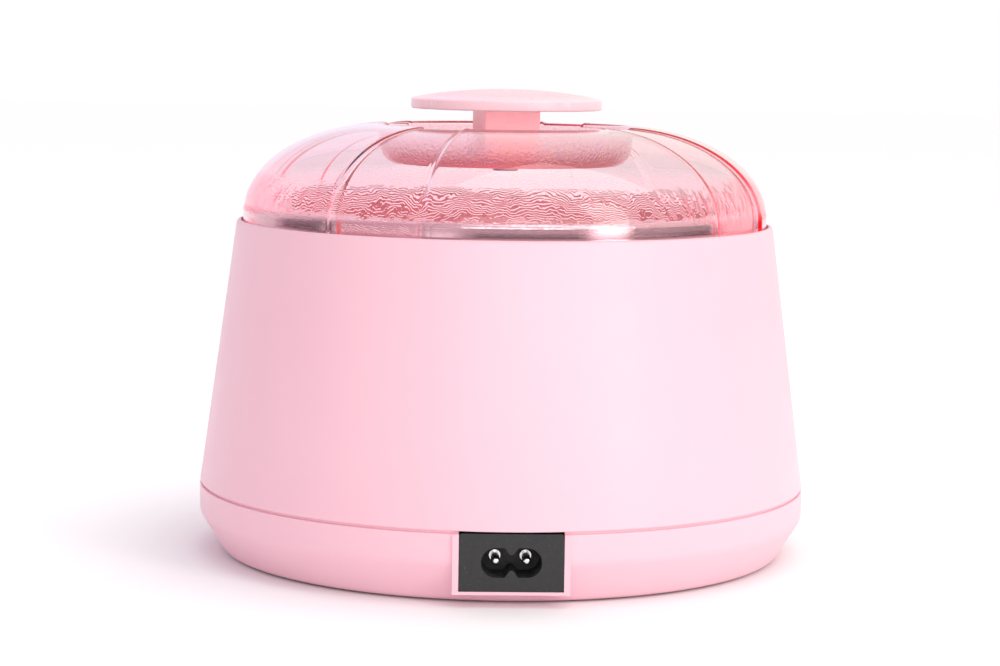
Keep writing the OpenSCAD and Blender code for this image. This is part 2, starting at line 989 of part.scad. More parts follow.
module control_board() {
    color("seagreen")
        difference() {
            box(
                [-board_w / 2, board_y - board_d / 2, board_z],
                [board_w / 2, board_y + board_d / 2, board_top_z]
            );
            at_board_corners()
                translate([0, 0, board_z - 1])
                    cylinder(r = 1.7, h = 4);
        }
}

module board_screws() {
    color(steel)
        at_board_corners()
            translate([0, 0, board_top_z])
                pan_screw(1.25, 8, 2.6, 1.8);
}

module terminal_block() {
    color("royalblue")
        difference() {
            box([-13, block_y, board_top_z], [13, block_y + 10, board_top_z + 10]);
            for (x = [-9, -3, 3, 9]) {
                translate([x, block_y + 5, block_hole_z])
                    rotate([90, 0, 0])
                        cylinder(r = 1.7, h = 7);
                translate([x, block_y + 5.5, board_top_z + 5.6])
                    cylinder(r = 1.6, h = 6);
            }
        }
}

module relay() {
    color("dodgerblue")
        box([14, -10, board_top_z], [33, 5, board_top_z + 14]);
}

module film_capacitor() {
    color("gold")
        box([-16, -8, board_top_z], [2, 0, board_top_z + 13]);
}

module bulk_capacitor() {
    color("midnightblue")
        translate([-20, 12, board_top_z])
            rotate_extrude()
                polygon(rounded([[0, 0, 0], [5, 0, 0.5], [5, 14, 0.6], [0, 14, 0]]));
}

module heat_sink() {
    color("lightgray") {
        box([-2, 12, board_top_z], [30, 14, board_top_z + 15]);
        for (i = [0:6])
            box([-2 + i * 5.1, 14, board_top_z], [-0.6 + i * 5.1, 20, board_top_z + 15]);
    }
}

module power_triac() {
    color(charcoal)
        box([8, 8, board_top_z], [18, 12, board_top_z + 15]);
}

module sensor_plug() {
    color("white")
        box([-39, -4, board_top_z], [-32, 10, board_top_z + 6.4]);
}

module control_plug() {
    color("white")
        box([-6, 25, board_top_z], [14, 33, board_top_z + 6.4]);
}

// ---- Temperature dial and lamp ----

module potentiometer() {
    back_y = well_y - 2.3;
    color("darkgray")
        difference() {
            union() {
                facing_front(back_y - 9, dial_z)
                    cylinder(r = 8.5, h = 9);
                facing_front(back_y, dial_z)
                    cylinder(r = 3.5, h = 5.8);
                for (x = [-3, 0, 3])
                    box([x - 0.8, back_y - 5, dial_z - 13], [x + 0.8, back_y - 4, dial_z - 7]);
            }
            facing_front(back_y - 6, dial_z)
                cylinder(r = 3.05, h = 20);
        }
}

module potentiometer_shaft() {
    color(bright_metal)
        facing_front(well_y - 7.3, dial_z)
            shaft(14, 3);
}

// A shaft with one flat over its last stretch
module shaft(length, r) {
    flat_from = length - 3.5;
    difference() {
        cylinder(r = r, h = length);
        translate([-r, r - 1, flat_from])
            cube([2 * r, 2, 10]);
    }
}

module dial_washer() {
    color(steel)
        facing_front(well_y, dial_z)
            ring(6.5, 3.55, 0.6);
}

module dial_nut() {
    color("gold")
        facing_front(well_y + 0.6, dial_z)
            difference() {
                cylinder(r = 5.6, h = 2, $fn = 6);
                translate([0, 0, -1])
                    cylinder(r = 3.5, h = 4);
            }
}

module dial() {
    back = 0.5;
    color(pink)
        facing_front(well_y + back, dial_z)
            difference() {
                rotate_extrude()
                    polygon(rounded([
                        [0, 0, 0], [dial_r, 0, 0], [dial_r, 7.2, 1], [0, 7.2, 0]
                    ]));
                translate([0, 0, -1])
                    cylinder(r = 7.2, h = 4.7);
                intersection() {
                    cylinder(r = 3, h = 6.2);
                    box([-4, -4, 0], [4, 2, 6.2]);
                }
                rotate(-135)
                    box([-0.7, dial_r * 0.45, 6.7], [0.7, dial_r - 1.5, 8]);
                for (i = [0:23])
                    rotate(i * 15)
                        translate([dial_r + 0.4, 0, -1])
                            cylinder(r = 0.8, h = 6);
            }
}

module indicator_lens() {
    color("orangered")
        on_lamp_axis() {
            translate([0, 0, -4.5])
                cylinder(r = 2.5, h = 5);
            rotate_extrude()
                polygon(rounded([
                    [0, 0.02, 0], [3.2, 0.02, 0], [3.2, 0.7, 0.3], [1.8, 1.5, 1.5], [0, 1.6, 0]
                ]));
        }
}

module indicator_led() {
    color("mistyrose")
        on_lamp_axis()
            translate([0, 0, -7.5])
                cylinder(r = 2.4, h = 3);
}

// ---- Leads ----

module mains_leads() {
    start_y = 11.6 - (inlet_face_y - 15.6);
    color("saddlebrown") {
        lead([
            [-pin_spacing / 2, start_y, inlet_z], [-4.8, -54, 13], [-8, -40, 15.5], [-9, -28, block_hole_z],
            [-9, block_y + 3.5, block_hole_z]
        ], 1.2);
        lead([
            [pin_spacing / 2, start_y, inlet_z], [3.5, -54, 13], [-1, -40, 15.5], [-3, -28, block_hole_z],
            [-3, block_y + 3.5, block_hole_z]
        ], 1.2);
    }
}

module heater_leads() {
    start_r = chamber_r(60) + 1.6;
    color("white") {
        lead([
            [start_r * cos(14), -start_r * sin(14), 47.4], [72, -18, 36], [64, -21, 25], [45, -34, 19.5],
            [22, -38, 18.5], [12, -33, block_hole_z], [9, -27, block_hole_z], [9, block_y + 3.5, block_hole_z]
        ], 1.2, [0.1, 0.9, 0.3]);
        lead([
            [start_r * cos(14), start_r * sin(14), 47.4], [74, 14, 36], [75, -8, 27], [64, -36, 21],
            [34, -47, 20], [13, -43, 19], [4.5, -33, block_hole_z], [3, -27, block_hole_z],
            [3, block_y + 3.5, block_hole_z]
        ], 1.2, [0.1, 0.3, 0.9]);
    }
}

module sensor_leads() {
    color("red")
        for (i = [0, 1])
            lead([
                [-32.1, 7 + 2 * i, boss_low_z - 1], [-38, 6.2 + 2 * i, boss_low_z - 1.2 + i],
                [-44.5 - 3 * i, 4.4, 34], [-44.8 - 3 * i, 4.4, 29], [-45 - 2 * i, 5 + 2 * i, 22],
                [-43, 5.8 + 2 * i, 17.4], [-39, 6 + 2 * i, 17]
            ], 0.6, [0.1, 0.9, 0.2]);
}

module cutoff_leads() {
    color("white") {
        lead([
            [-26.1, -10, 37], [-32, -9.6, 37], [-40, -5, 36.2], [-47.5, -0.4, 34], [-47.7, -0.4, 29],
            [-46.5, -1.5, 22], [-43, -1.8, 17.2], [-39.1, -2, 17.1]
        ], 0.6, [0.1, 0.9, 0.2]);
        lead([
            [-13.9, -10, 37], [-10.5, -9, 37], [-9.5, -4.5, 36.5], [-16, -2, 35.5], [-34, -1.5, 35.2],
            [-43.5, 0.4, 33.5], [-44.5, 0.4, 29], [-44.6, 1, 22], [-42.5, 1.2, 17.2], [-39.1, 1, 17.1]
        ], 0.6, [0.1, 0.2, 0.9]);
    }
}

module dial_leads() {
    tab_y = well_y - 2.3 - 4.5;
    color("orange")
        for (i = [-1:1])
            lead([
                [3 * i, tab_y, dial_z - 13], [3 * i, tab_y - 1, 24], [2.9 * i, 66, 18.5], [2.6 * i, 48, 17],
                [2.5 * i, 33, 17]
            ], 0.6, [0.95, 0.1, 0.2]);
}

module lamp_leads() {
    color("red")
        for (i = [0, 1])
            lead([
                [1.2 - 2.4 * i, cone_r(lamp_z) - 7.8, lamp_z - 1.1],
                [1.8 - 2.4 * i, cone_r(lamp_z) - 8.5, lamp_z - 2], [4 - 2.4 * i, 77, 66 - i],
                [11 - 2.4 * i, 77.6, 58 - 1.5 * i], [14.5 - 2.2 * i, 76.5, 46], [14.5 - 2.2 * i, 74, 32],
                [13 - 2 * i, 60, 19], [11.5 - 2.3 * i, 44, 17], [11.5 - 2.5 * i, 33, 17]
            ], 0.6, [0.95, 0.1, 0.2]);
}

upper_housing();
bottom_cover();
rubber_feet();
base_screws();
inlet_body();
inlet_pins();
terminal_sleeves();
lid();
lid_well();
lid_knob();
knob_screw();
knob_washer();
wax_pot();
heating_chamber();
flange_gasket();
chamber_brackets();
bracket_screws();
heater_band();
band_bolt();
insulation_wrap();
insulation_ties();
temperature_sensor();
thermal_cutoff();
cutoff_clamp();
sensor_screws();
heat_shield();
shield_screw();
shield_grommet();
control_board();
board_screws();
terminal_block();
relay();
film_capacitor();
bulk_capacitor();
heat_sink();
power_triac();
sensor_plug();
control_plug();
potentiometer();
potentiometer_shaft();
dial();
dial_washer();
dial_nut();
indicator_lens();
indicator_led();
mains_leads();
heater_leads();
sensor_leads();
cutoff_leads();
dial_leads();
lamp_leads();
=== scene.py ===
import math

import bmesh
import bpy
import numpy as np
from mathutils import Matrix, Vector


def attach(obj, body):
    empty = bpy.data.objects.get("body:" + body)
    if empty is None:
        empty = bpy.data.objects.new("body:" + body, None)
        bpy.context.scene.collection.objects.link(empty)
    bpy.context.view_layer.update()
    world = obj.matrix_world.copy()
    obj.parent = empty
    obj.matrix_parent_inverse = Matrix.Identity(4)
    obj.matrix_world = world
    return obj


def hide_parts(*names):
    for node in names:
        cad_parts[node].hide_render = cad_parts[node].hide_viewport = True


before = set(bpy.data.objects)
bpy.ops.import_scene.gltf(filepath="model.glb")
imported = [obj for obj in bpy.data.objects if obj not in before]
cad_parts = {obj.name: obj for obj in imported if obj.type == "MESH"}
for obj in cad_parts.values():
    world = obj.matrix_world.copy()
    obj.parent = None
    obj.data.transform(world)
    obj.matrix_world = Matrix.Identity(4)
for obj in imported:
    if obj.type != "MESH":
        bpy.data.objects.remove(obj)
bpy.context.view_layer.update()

scene = bpy.context.scene
MM = 0.001


# ---- Camera and lights ----

LENS_MM = 95.57
SENSOR_MM = 36
CLIP_START = 0.01
CAMERA_PLACE = (-0.0292, -0.8094, 0.1565)
CAMERA_TURN = -2
CAMERA_DOWN = 6.362
CAMERA_ROLL = 0.865


def add_camera():
    """The camera, behind the warmer on the side with the mains inlet. Its angles are in degrees."""
    data = bpy.data.cameras.new("camera")
    data.lens = LENS_MM
    data.sensor_width = SENSOR_MM
    data.clip_start = CLIP_START
    camera = bpy.data.objects.new("camera", data)
    camera.matrix_world = (
        Matrix.Translation(CAMERA_PLACE)
        @ Matrix.Rotation(math.radians(CAMERA_TURN), 4, "Z")
        @ Matrix.Rotation(math.radians(90 - CAMERA_DOWN), 4, "X")
        @ Matrix.Rotation(math.radians(CAMERA_ROLL), 4, "Z")
    )
    scene.collection.objects.link(camera)
    scene.camera = camera


def add_softbox(name, place, aim, size, power, colour=(1, 1, 1)):
    """A rectangular lamp that shines from place towards aim, power in watts. It isn't seen itself."""
    data = bpy.data.lights.new(name, "AREA")
    data.shape = "RECTANGLE"
    data.size, data.size_y = size
    data.energy = power
    data.color = colour
    light = bpy.data.objects.new(name, data)
    light.location = place
    light.rotation_euler = (Vector(aim) - Vector(place)).to_track_quat("-Z", "Y").to_euler()
    light.visible_camera = False
    scene.collection.objects.link(light)


add_camera()
scene.view_settings.view_transform = "Standard"


# ---- Materials ----

class Graph:
    """A node tree and short ways to add to it."""

    def __init__(self, tree, coordinate):
        self.tree = tree
        tree.nodes.clear()
        self.place = tree.nodes.new("ShaderNodeTexCoord").outputs[coordinate]

    def node(self, kind, settings=(), **inputs):
        """A new node. inputs names its sockets, or numbers them as i0, i1 and so on."""
        made = self.tree.nodes.new("ShaderNode" + kind)
        for key, value in dict(settings).items():
            setattr(made, key, value)
        for key, value in inputs.items():
            numbered = key[0] == "i" and key[1:].isdigit()
            socket = made.inputs[int(key[1:]) if numbered else key.replace("_", " ")]
            if isinstance(value, bpy.types.NodeSocket):
                self.tree.links.new(value, socket)
            else:
                socket.default_value = value
        return made

    def scaled(self, scale):
        return self.node("Mapping", Vector=self.place, Scale=scale).outputs[0]

    def noise(self, scale, detail, stretch=None):
        source = self.place if stretch is None else self.scaled(stretch)
        made = self.node("TexNoise", Vector=source, Scale=scale, Detail=detail, Roughness=0.5)
        return made.outputs[0]

    def math(self, operation, a, b=0.0, c=0.0):
        return self.node("Math", {"operation": operation}, i0=a, i1=b, i2=c).outputs[0]

    def ramp(self, fac, low, high, out_low=0.0, out_high=1.0):
        """From out_low at low to out_high at high, straight between and level beyond."""
        return self.node(
            "MapRange",
            {"clamp": True},
            Value=fac, From_Min=low, From_Max=high, To_Min=out_low, To_Max=out_high,
        ).outputs[0]

    def blend(self, fac, a, b):
        """Colour a at 0, b at 1."""
        mixer = self.node("Mix", {"data_type": "RGBA"}, i0=fac)
        for socket, value in ((mixer.inputs[6], a), (mixer.inputs[7], b)):
            if isinstance(value, bpy.types.NodeSocket):
                self.tree.links.new(value, socket)
            else:
                socket.default_value = (*value[:3], 1)
        return mixer.outputs[2]

    def steps(self, fac, stops):
        """A grey level that runs straight between (position, level) stops."""
        made = self.node("ValToRGB", Fac=fac)
        elements = made.color_ramp.elements
        while len(elements) < len(stops):
            elements.new(0.5)
        for element, (position, level) in zip(elements, stops):
            element.position = position
            element.color = (level, level, level, 1)
        return made.outputs[0]


class Finish(Graph):
    """A material made of one Principled shader."""

    def __init__(self, name, **values):
        self.material = bpy.data.materials.new(name)
        self.material.use_nodes = True
        super().__init__(self.material.node_tree, "Object")
        self.out = self.tree.nodes.new("ShaderNodeOutputMaterial")
        self.shader = self.tree.nodes.new("ShaderNodeBsdfPrincipled")
        self.tree.links.new(self.shader.outputs[0], self.out.inputs["Surface"])
        self.normal = None
        for key, value in values.items():
            self.shader.inputs[key.replace("_", " ")].default_value = value

    def feed(self, key, value):
        self.tree.links.new(value, self.shader.inputs[key])

    def bump(self, height, distance):
        """Adds relief of this many metres to what is there already."""
        values = {"Height": height, "Distance": distance, "Strength": 1.0}
        if self.normal is not None:
            values["Normal"] = self.normal
        self.normal = self.node("Bump", **values).outputs[0]
        self.feed("Normal", self.normal)


# Heights from the knob's crown down to its edge, over which the painted glow grows, and places across
# the stem's left corner, where the painted glow dims as painted shade on the left face.
EDGE_FADE = (0.1392, 0.1375)
LEFT_FADE = (-0.0074, -0.0064)


def moulded(name, colour, shade, rough=(0.32, 0.42), depth=0.000012, painted_light=None, **values):
    """Moulded plastic: a faint cloudiness, a fine satin grain and slightly uneven gloss.
    When given, the light to paint is (colour, glow, height). Below that height in metres the plastic
    takes the richer colour and a painted glow that stands in for light coming through it, weaker on
    the left face as painted shade. Above it the edge has a little painted glow and the crown hardly
    any."""
    finish = Finish(name, **values)
    tone = finish.blend(finish.ramp(finish.noise(18, 4), 0.35, 0.65), colour, shade)
    if painted_light is not None:
        # Painted light: below the height, a richer colour and an emitted glow that stand in for light
        # passing through the plastic.
        painted_rich_colour, through, below = painted_light
        x, _, height = finish.node("SeparateXYZ", Vector=finish.place).outputs
        sunk = finish.ramp(height, below, below - 0.001)
        tone = finish.blend(sunk, tone, painted_rich_colour)
        # Painted glow, stronger on the disc's edge than on its crown.
        edge = finish.ramp(height, *EDGE_FADE)
        glow = finish.blend(edge, (0.02, 0.015, 0.015), (0.18, 0.15, 0.15))
        # The stem's left face gets less of the painted glow: painted shade.
        left = [c * 0.4 for c in through]
        lit = finish.blend(finish.ramp(x, *LEFT_FADE), left, through)
        finish.feed("Emission Color", finish.blend(sunk, glow, lit))
        finish.shader.inputs["Emission Strength"].default_value = 1.0
    finish.feed("Base Color", tone)
    finish.feed("Roughness", finish.ramp(finish.noise(60, 3), 0.3, 0.7, *rough))
    finish.bump(finish.noise(2500, 2), depth)
    return finish.material


def metal(name, colour, rough, brush=None):
    """Bare metal: uneven gloss and fine scratches. brush squeezes them along each axis."""
    finish = Finish(name, Metallic=1.0)
    tone = finish.ramp(finish.noise(35, 4), 0.3, 0.7)
    finish.feed("Base Color", finish.blend(tone, colour, [c * 0.9 for c in colour]))
    finish.feed("Roughness", finish.ramp(finish.noise(300, 3, brush), 0.3, 0.7, rough, rough + 0.14))
    finish.bump(finish.noise(900, 2, brush), 0.000006)
    return finish.material


def coated(name, colour, shade, rough, scale, depth):
    """A matt surface with an even fine grain: rubber, laminate, fibre or lacquer."""
    finish = Finish(name)
    cloud = finish.ramp(finish.noise(scale, 5), 0.3, 0.7)
    finish.feed("Base Color", finish.blend(cloud, colour, shade))
    finish.feed("Roughness", finish.ramp(finish.noise(scale / 3, 3), 0.3, 0.7, rough, rough + 0.12))
    finish.bump(finish.noise(scale * 3, 3), depth)
    return finish.material


def charcoal_moulding():
    """Spark-eroded dark plastic: tiny pits, the odd pale speck, and a soft sheen."""
    finish = Finish("charcoal_moulding", IOR=1.5)
    grain = finish.noise(1900, 3)
    speck = finish.ramp(grain, 0.62, 0.78)
    finish.feed("Base Color", finish.blend(speck, (0.017, 0.017, 0.018), (0.08, 0.08, 0.085)))
    finish.feed("Roughness", finish.ramp(finish.noise(500, 3), 0.3, 0.7, 0.42, 0.58))
    finish.bump(grain, 0.00006)
    return finish.material


# The clear lid's waves, in radians for each metre of height, and the heights where its tints change.
WAVES = 8400.0
BELT_FADE = (0.1168, 0.1145)
FOOT_FADE = (0.1052, 0.1036)


def clear_moulding():
    """Tinted clear plastic. Its inner side has the fine wavy figure of the tool that shaped it, and a
    coarse grain, each as strong as the point attribute of its name says. In the belt the figure's
    crests are tinted a deeper pink, a painted reflection of the pot's lacquer seen through the
    ripples, and the belt glows a little as painted light."""
    finish = Finish("clear_plastic", Roughness=0.0, IOR=1.49, Transmission_Weight=1.0)
    tint = finish.node("VolumeAbsorption", Color=(0.97, 0.12, 0.34, 1), Density=50.0)
    finish.tree.links.new(tint.outputs[0], finish.out.inputs["Volume"])
    figure = finish.node("Attribute", {"attribute_name": "figure"}).outputs["Fac"]
    grain = finish.node("Attribute", {"attribute_name": "grain"}).outputs["Fac"]
    x, _, height = finish.node("SeparateXYZ", Vector=finish.place).outputs
    swirl = finish.math("MULTIPLY", finish.noise(80, 1.5), 80.0)
    shiver = finish.math("MULTIPLY", finish.noise(280, 2), 28.0)
    blades = finish.noise(330, 1.5, (1, 1, 0.2))
    grass = finish.math("MULTIPLY", blades, finish.ramp(x, 0.01, 0.055, 4.0, 90.0))
    drift = finish.math("ADD", finish.math("ADD", swirl, shiver), grass)
    wave = finish.math("SINE", finish.math("MULTIPLY_ADD", height, WAVES, drift))
    speck = finish.ramp(finish.noise(25, 3), 0.3, 0.7)
    body = finish.blend(speck, (0.985, 0.885, 0.905), (0.975, 0.87, 0.892))
    edge = finish.math("MULTIPLY_ADD", finish.noise(300, 2), 0.006, height)
    belt = finish.math("MULTIPLY", finish.ramp(edge, *BELT_FADE), figure)
    # Painted reflection: the belt's wave crests are tinted a deeper pink.
    painted_stroke = finish.math("MULTIPLY", finish.ramp(wave, -0.6, 1.0, 0.45, 1.0), belt)
    body = finish.blend(painted_stroke, body, (0.985, 0.71, 0.77))
    body = finish.blend(finish.math("MULTIPLY", grain, 0.75), body, (0.94, 0.68, 0.75))
    body = finish.blend(finish.ramp(height, *FOOT_FADE), body, (0.98, 0.78, 0.82))
    # Painted light: the belt glows a faint pink.
    finish.feed("Emission Color", finish.blend(belt, (0.0, 0.0, 0.0), (0.13, 0.05, 0.055)))
    finish.shader.inputs["Emission Strength"].default_value = 1.0
    side = finish.ramp(finish.noise(900, 1), 0.45, 0.55)
    hue = finish.blend(side, (0.7, 0.5, 0.98), (1.0, 0.85, 0.4))
    fleck = finish.ramp(finish.noise(1500, 1), 0.5, 0.56)
    finish.feed("Base Color", finish.blend(finish.math("MULTIPLY", fleck, grain), body, hue))
    finish.bump(finish.math("MULTIPLY", wave, figure), 0.00002)
    finish.bump(finish.math("MULTIPLY", finish.noise(1100, 2), grain), 0.0004)
    return finish.material


def pot_coating():
    """Pink non-stick lacquer over spun metal: rings from the lathe show through it."""
    finish = Finish("pot_coating", IOR=1.45)
    cloud = finish.ramp(finish.noise(40, 4), 0.3, 0.7)
    finish.feed("Base Color", finish.blend(cloud, (0.98, 0.42, 0.47), (0.96, 0.38, 0.43)))
    finish.feed("Roughness", finish.ramp(finish.noise(120, 3), 0.3, 0.7, 0.25, 0.36))
    finish.bump(finish.noise(60, 3, (1, 1, 40)), 0.000015)
    return finish.material


def paper():
    """The studio's sweep of white paper. It glows a little, but not at the object or close around it,
    which leaves a painted shadow there.
    """
    finish = Finish("paper", Roughness=0.85, Emission_Strength=1.0)
    reach = finish.node("VectorMath", {"operation": "LENGTH"}, Vector=finish.place).outputs["Value"]
    # No glow within 0.09 m of the middle and full glow beyond 0.2 m: a painted shadow around the
    # object.
    clear_of_it = finish.ramp(reach, 0.09, 0.2)
    finish.feed("Emission Color", finish.blend(clear_of_it, (0.0, 0.0, 0.0), (0.25, 0.24, 0.25)))
    cloud = finish.noise(200, 3)
    finish.feed("Base Color", finish.blend(cloud, (0.95, 0.94, 0.945), (0.93, 0.92, 0.925)))
    return finish.material


def each(make, looks):
    """Materials of one kind by name, made from what make takes after the name."""
    return {name: make(name, *look) for name, look in looks.items()}


SPUN = (1, 1, 30)
ROLLED = (1, 1, 8)
materials = {
    "housing_plastic": moulded(
        "housing_plastic", (0.93, 0.545, 0.625), (0.935, 0.56, 0.64), IOR=1.5,
    ),
    "knob_plastic": moulded(
        "knob_plastic", (0.94, 0.50, 0.58), (0.95, 0.52, 0.60),
        rough=(0.25, 0.33), depth=0.000006, IOR=1.5,
    ),
    "lamp_plastic": moulded(
        "lamp_plastic", (0.85, 0.16, 0.04), (0.80, 0.13, 0.03), rough=(0.08, 0.14), IOR=1.5,
    ),
    "led_plastic": moulded(
        "led_plastic", (0.85, 0.55, 0.45), (0.88, 0.60, 0.5), rough=(0.1, 0.2),
    ),
    "clear_plastic": clear_moulding(),
    "inlet_plastic": charcoal_moulding(),
    # Colour, roughness and the squeeze of the scratches
    **each(metal, {
        "screw_steel": ((0.62, 0.62, 0.64), 0.25),
        "sheet_steel": ((0.60, 0.61, 0.63), 0.32, ROLLED),
        "contact_metal": ((0.86, 0.85, 0.83), 0.12),
        "contact_brass": ((0.80, 0.58, 0.26), 0.22),
        "pot_aluminium": ((0.78, 0.755, 0.765), 0.05, SPUN),
        "chamber_aluminium": ((0.78, 0.78, 0.79), 0.3, SPUN),
    }),
    # Two colours, roughness, the grain's scale and its depth in metres
    **each(coated, {
        "foot_rubber": ((0.05, 0.05, 0.052), (0.07, 0.07, 0.07), 0.75, 900, 0.00003),
        "seal_rubber": ((0.62, 0.60, 0.58), (0.70, 0.68, 0.66), 0.6, 700, 0.00002),
        "insulation": ((0.72, 0.66, 0.52), (0.80, 0.75, 0.62), 0.85, 400, 0.0002),
        "tie_plastic": ((0.75, 0.75, 0.73), (0.80, 0.80, 0.78), 0.45, 500, 0.00002),
        "board_laminate": ((0.02, 0.16, 0.07), (0.03, 0.20, 0.09), 0.35, 600, 0.00002),
        "connector_plastic": ((0.03, 0.09, 0.42), (0.04, 0.11, 0.48), 0.4, 500, 0.00002),
        "connector_white": ((0.78, 0.77, 0.73), (0.72, 0.71, 0.67), 0.4, 500, 0.00002),
        "component_plastic": ((0.05, 0.20, 0.52), (0.07, 0.24, 0.56), 0.35, 400, 0.00002),
        "component_black": ((0.02, 0.02, 0.02), (0.035, 0.035, 0.035), 0.5, 700, 0.00002),
        "lead_mains": ((0.16, 0.07, 0.03), (0.20, 0.09, 0.04), 0.45, 600, 0.00002),
        "lead_white": ((0.78, 0.78, 0.75), (0.72, 0.72, 0.70), 0.45, 600, 0.00002),
        "lead_red": ((0.60, 0.04, 0.03), (0.68, 0.05, 0.04), 0.45, 600, 0.00002),
    }),
}
lid_knob_plastic_painted_glow = moulded(
    "lid_knob_plastic_painted_glow", (0.94, 0.53, 0.60), (0.95, 0.55, 0.62),
    rough=(0.25, 0.33), depth=0.000004, IOR=1.5,
    # Painted light on the lid's knob: a richer colour and a painted glow on the stem, weaker on its
    # left face, and a little painted glow on the disc's edge.
    painted_light=((0.96, 0.38, 0.42), (0.48, 0.25, 0.27), 0.1348),
)
coating = pot_coating()


# ---- Studio ----

# Brightness by bearing, in degrees from the camera's side (-Y) towards the picture's right (+X):
# below the horizon, where the pot's rim mirrors white cards and dark gaps, and above it.
CARDS = (
    (-180, 0.9), (-122, 0.9), (-118, 0.06), (-92, 0.06), (-88, 0.7), (-38, 0.7),
    (-35, 1.5), (-25, 1.4), (-20, 0.5), (-13, 0.19), (33, 0.17), (37, 1.5),
    (50, 1.5), (55, 0.2), (80, 0.2), (86, 0.06), (110, 0.06), (114, 0.9), (180, 0.9),
)
WALLS = (
    (-180, 1.12), (-130, 0.98), (-100, 0.6), (-75, 0.48), (-45, 0.64),
    (0, 0.95), (60, 0.9), (110, 1.0), (180, 1.12),
)


def by_bearing(levels):
    """Ramp stops, from 0 to 1 once round, for levels at bearings in degrees."""
    return [(0.5 + degrees / 360, level) for degrees, level in levels]


def studio_world():
    """A pale room with cards and gaps near the horizon. The camera itself sees plain white."""
    world = bpy.data.worlds.new("studio")
    scene.world = world
    world.use_nodes = True
    sky = Graph(world.node_tree, "Generated")
    axes = sky.node("SeparateXYZ", Vector=sky.place).outputs
    turn = sky.math("ARCTAN2", axes[0], sky.math("MULTIPLY", axes[1], -1.0))
    turn = sky.math("MULTIPLY_ADD", turn, 0.5 / math.pi, 0.5)
    low = sky.steps(turn, by_bearing(CARDS))
    high = sky.steps(turn, by_bearing(WALLS))
    lift = sky.ramp(axes[2], -0.03, 0.0)
    warmth = sky.blend(sky.ramp(turn, 0.3, 0.65), (0.9, 0.87, 0.97), (0.9, 0.9, 0.86))
    lit = sky.node("VectorMath", {"operation": "MULTIPLY"}, i0=high, i1=warmth).outputs[0]
    room = sky.blend(lift, low, lit)
    seen = sky.node("LightPath").outputs["Is Camera Ray"]
    shown = sky.blend(seen, room, (1.0, 1.0, 1.0))
    background = sky.node("Background", Color=shown, Strength=1.0)
    out = world.node_tree.nodes.new("ShaderNodeOutputWorld")
    world.node_tree.links.new(background.outputs[0], out.inputs[0])


studio_world()
add_softbox("key", (0.72, -0.75, 0.5), (0, 0, 0.06), (0.3, 0.9), 3.0, (1.0, 0.98, 0.92))
add_softbox("fill", (0.1, -1.3, 0.45), (0, 0, 0.12), (1.2, 0.4), 3.0)
add_softbox("top", (0.3, -0.2, 1.3), (0, 0, 0.1), (1.0, 1.0), 3.8)

FLOOR_SIDE = 1.2
FLOOR_NEAR = -0.7
FLOOR_FAR = 5
floor_mesh = bpy.data.meshes.new("floor")
floor_mesh.from_pydata([
    (-FLOOR_SIDE, FLOOR_NEAR, 0), (FLOOR_SIDE, FLOOR_NEAR, 0),
    (FLOOR_SIDE, FLOOR_FAR, 0), (-FLOOR_SIDE, FLOOR_FAR, 0),
], [], [(0, 1, 2, 3)])
floor = bpy.data.objects.new("floor", floor_mesh)
scene.collection.objects.link(floor)
floor.data.materials.append(paper())

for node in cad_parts.values():
    slot = node.data.materials[0].name
    node.data.materials.clear()
    node.data.materials.append(materials[slot])


# ---- Meshes of revolution ----

def arc(centre, rx, ry, start, end, steps):
    """Points of an ellipse's arc in a half section, angles in degrees."""
    angles = np.radians(np.linspace(start, end, steps + 1))
    return [(centre[0] + rx * math.cos(a), centre[1] + ry * math.sin(a)) for a in angles]


def fade(value, start, end):
    """0 at start, 1 at end, straight between."""
    return min(max((value - start) / (end - start), 0.0), 1.0)


def fillet(points, steps):
    """A half section from (radius, height, corner radius) points, with its corners rounded."""
    result = []
    for i, (r, z, size) in enumerate(points):
        here = np.array((r, z))
        if not size or i in (0, len(points) - 1):
            result.append((r, z))
            continue
        to_last = np.array(points[i - 1][:2]) - here
        to_next = np.array(points[i + 1][:2]) - here
        to_last, to_next = to_last / np.linalg.norm(to_last), to_next / np.linalg.norm(to_next)
        half = math.acos(np.clip(to_last @ to_next, -1, 1)) / 2
        reach = size / math.tan(half)
        a, b = here + to_last * reach, here + to_next * reach
        centre = here + (to_last + to_next) / np.linalg.norm(to_last + to_next) * size / math.sin(half)
        from_a = math.atan2(*(a - centre)[::-1])
        turn = (math.atan2(*(b - centre)[::-1]) - from_a + math.pi) % (2 * math.pi) - math.pi
        for k in range(steps + 1):
            angle = from_a + turn * k / steps
            result.append((centre[0] + size * math.cos(angle), centre[1] + size * math.sin(angle)))
    return result


def weld(data):
    """Joins the points that meet on the axis and drops the faces that this empties."""
    made = bmesh.new()
    made.from_mesh(data)
    bmesh.ops.remove_doubles(made, verts=made.verts, dist=1e-6)
    bmesh.ops.recalc_face_normals(made, faces=made.faces)
    made.to_mesh(data)
    made.free()


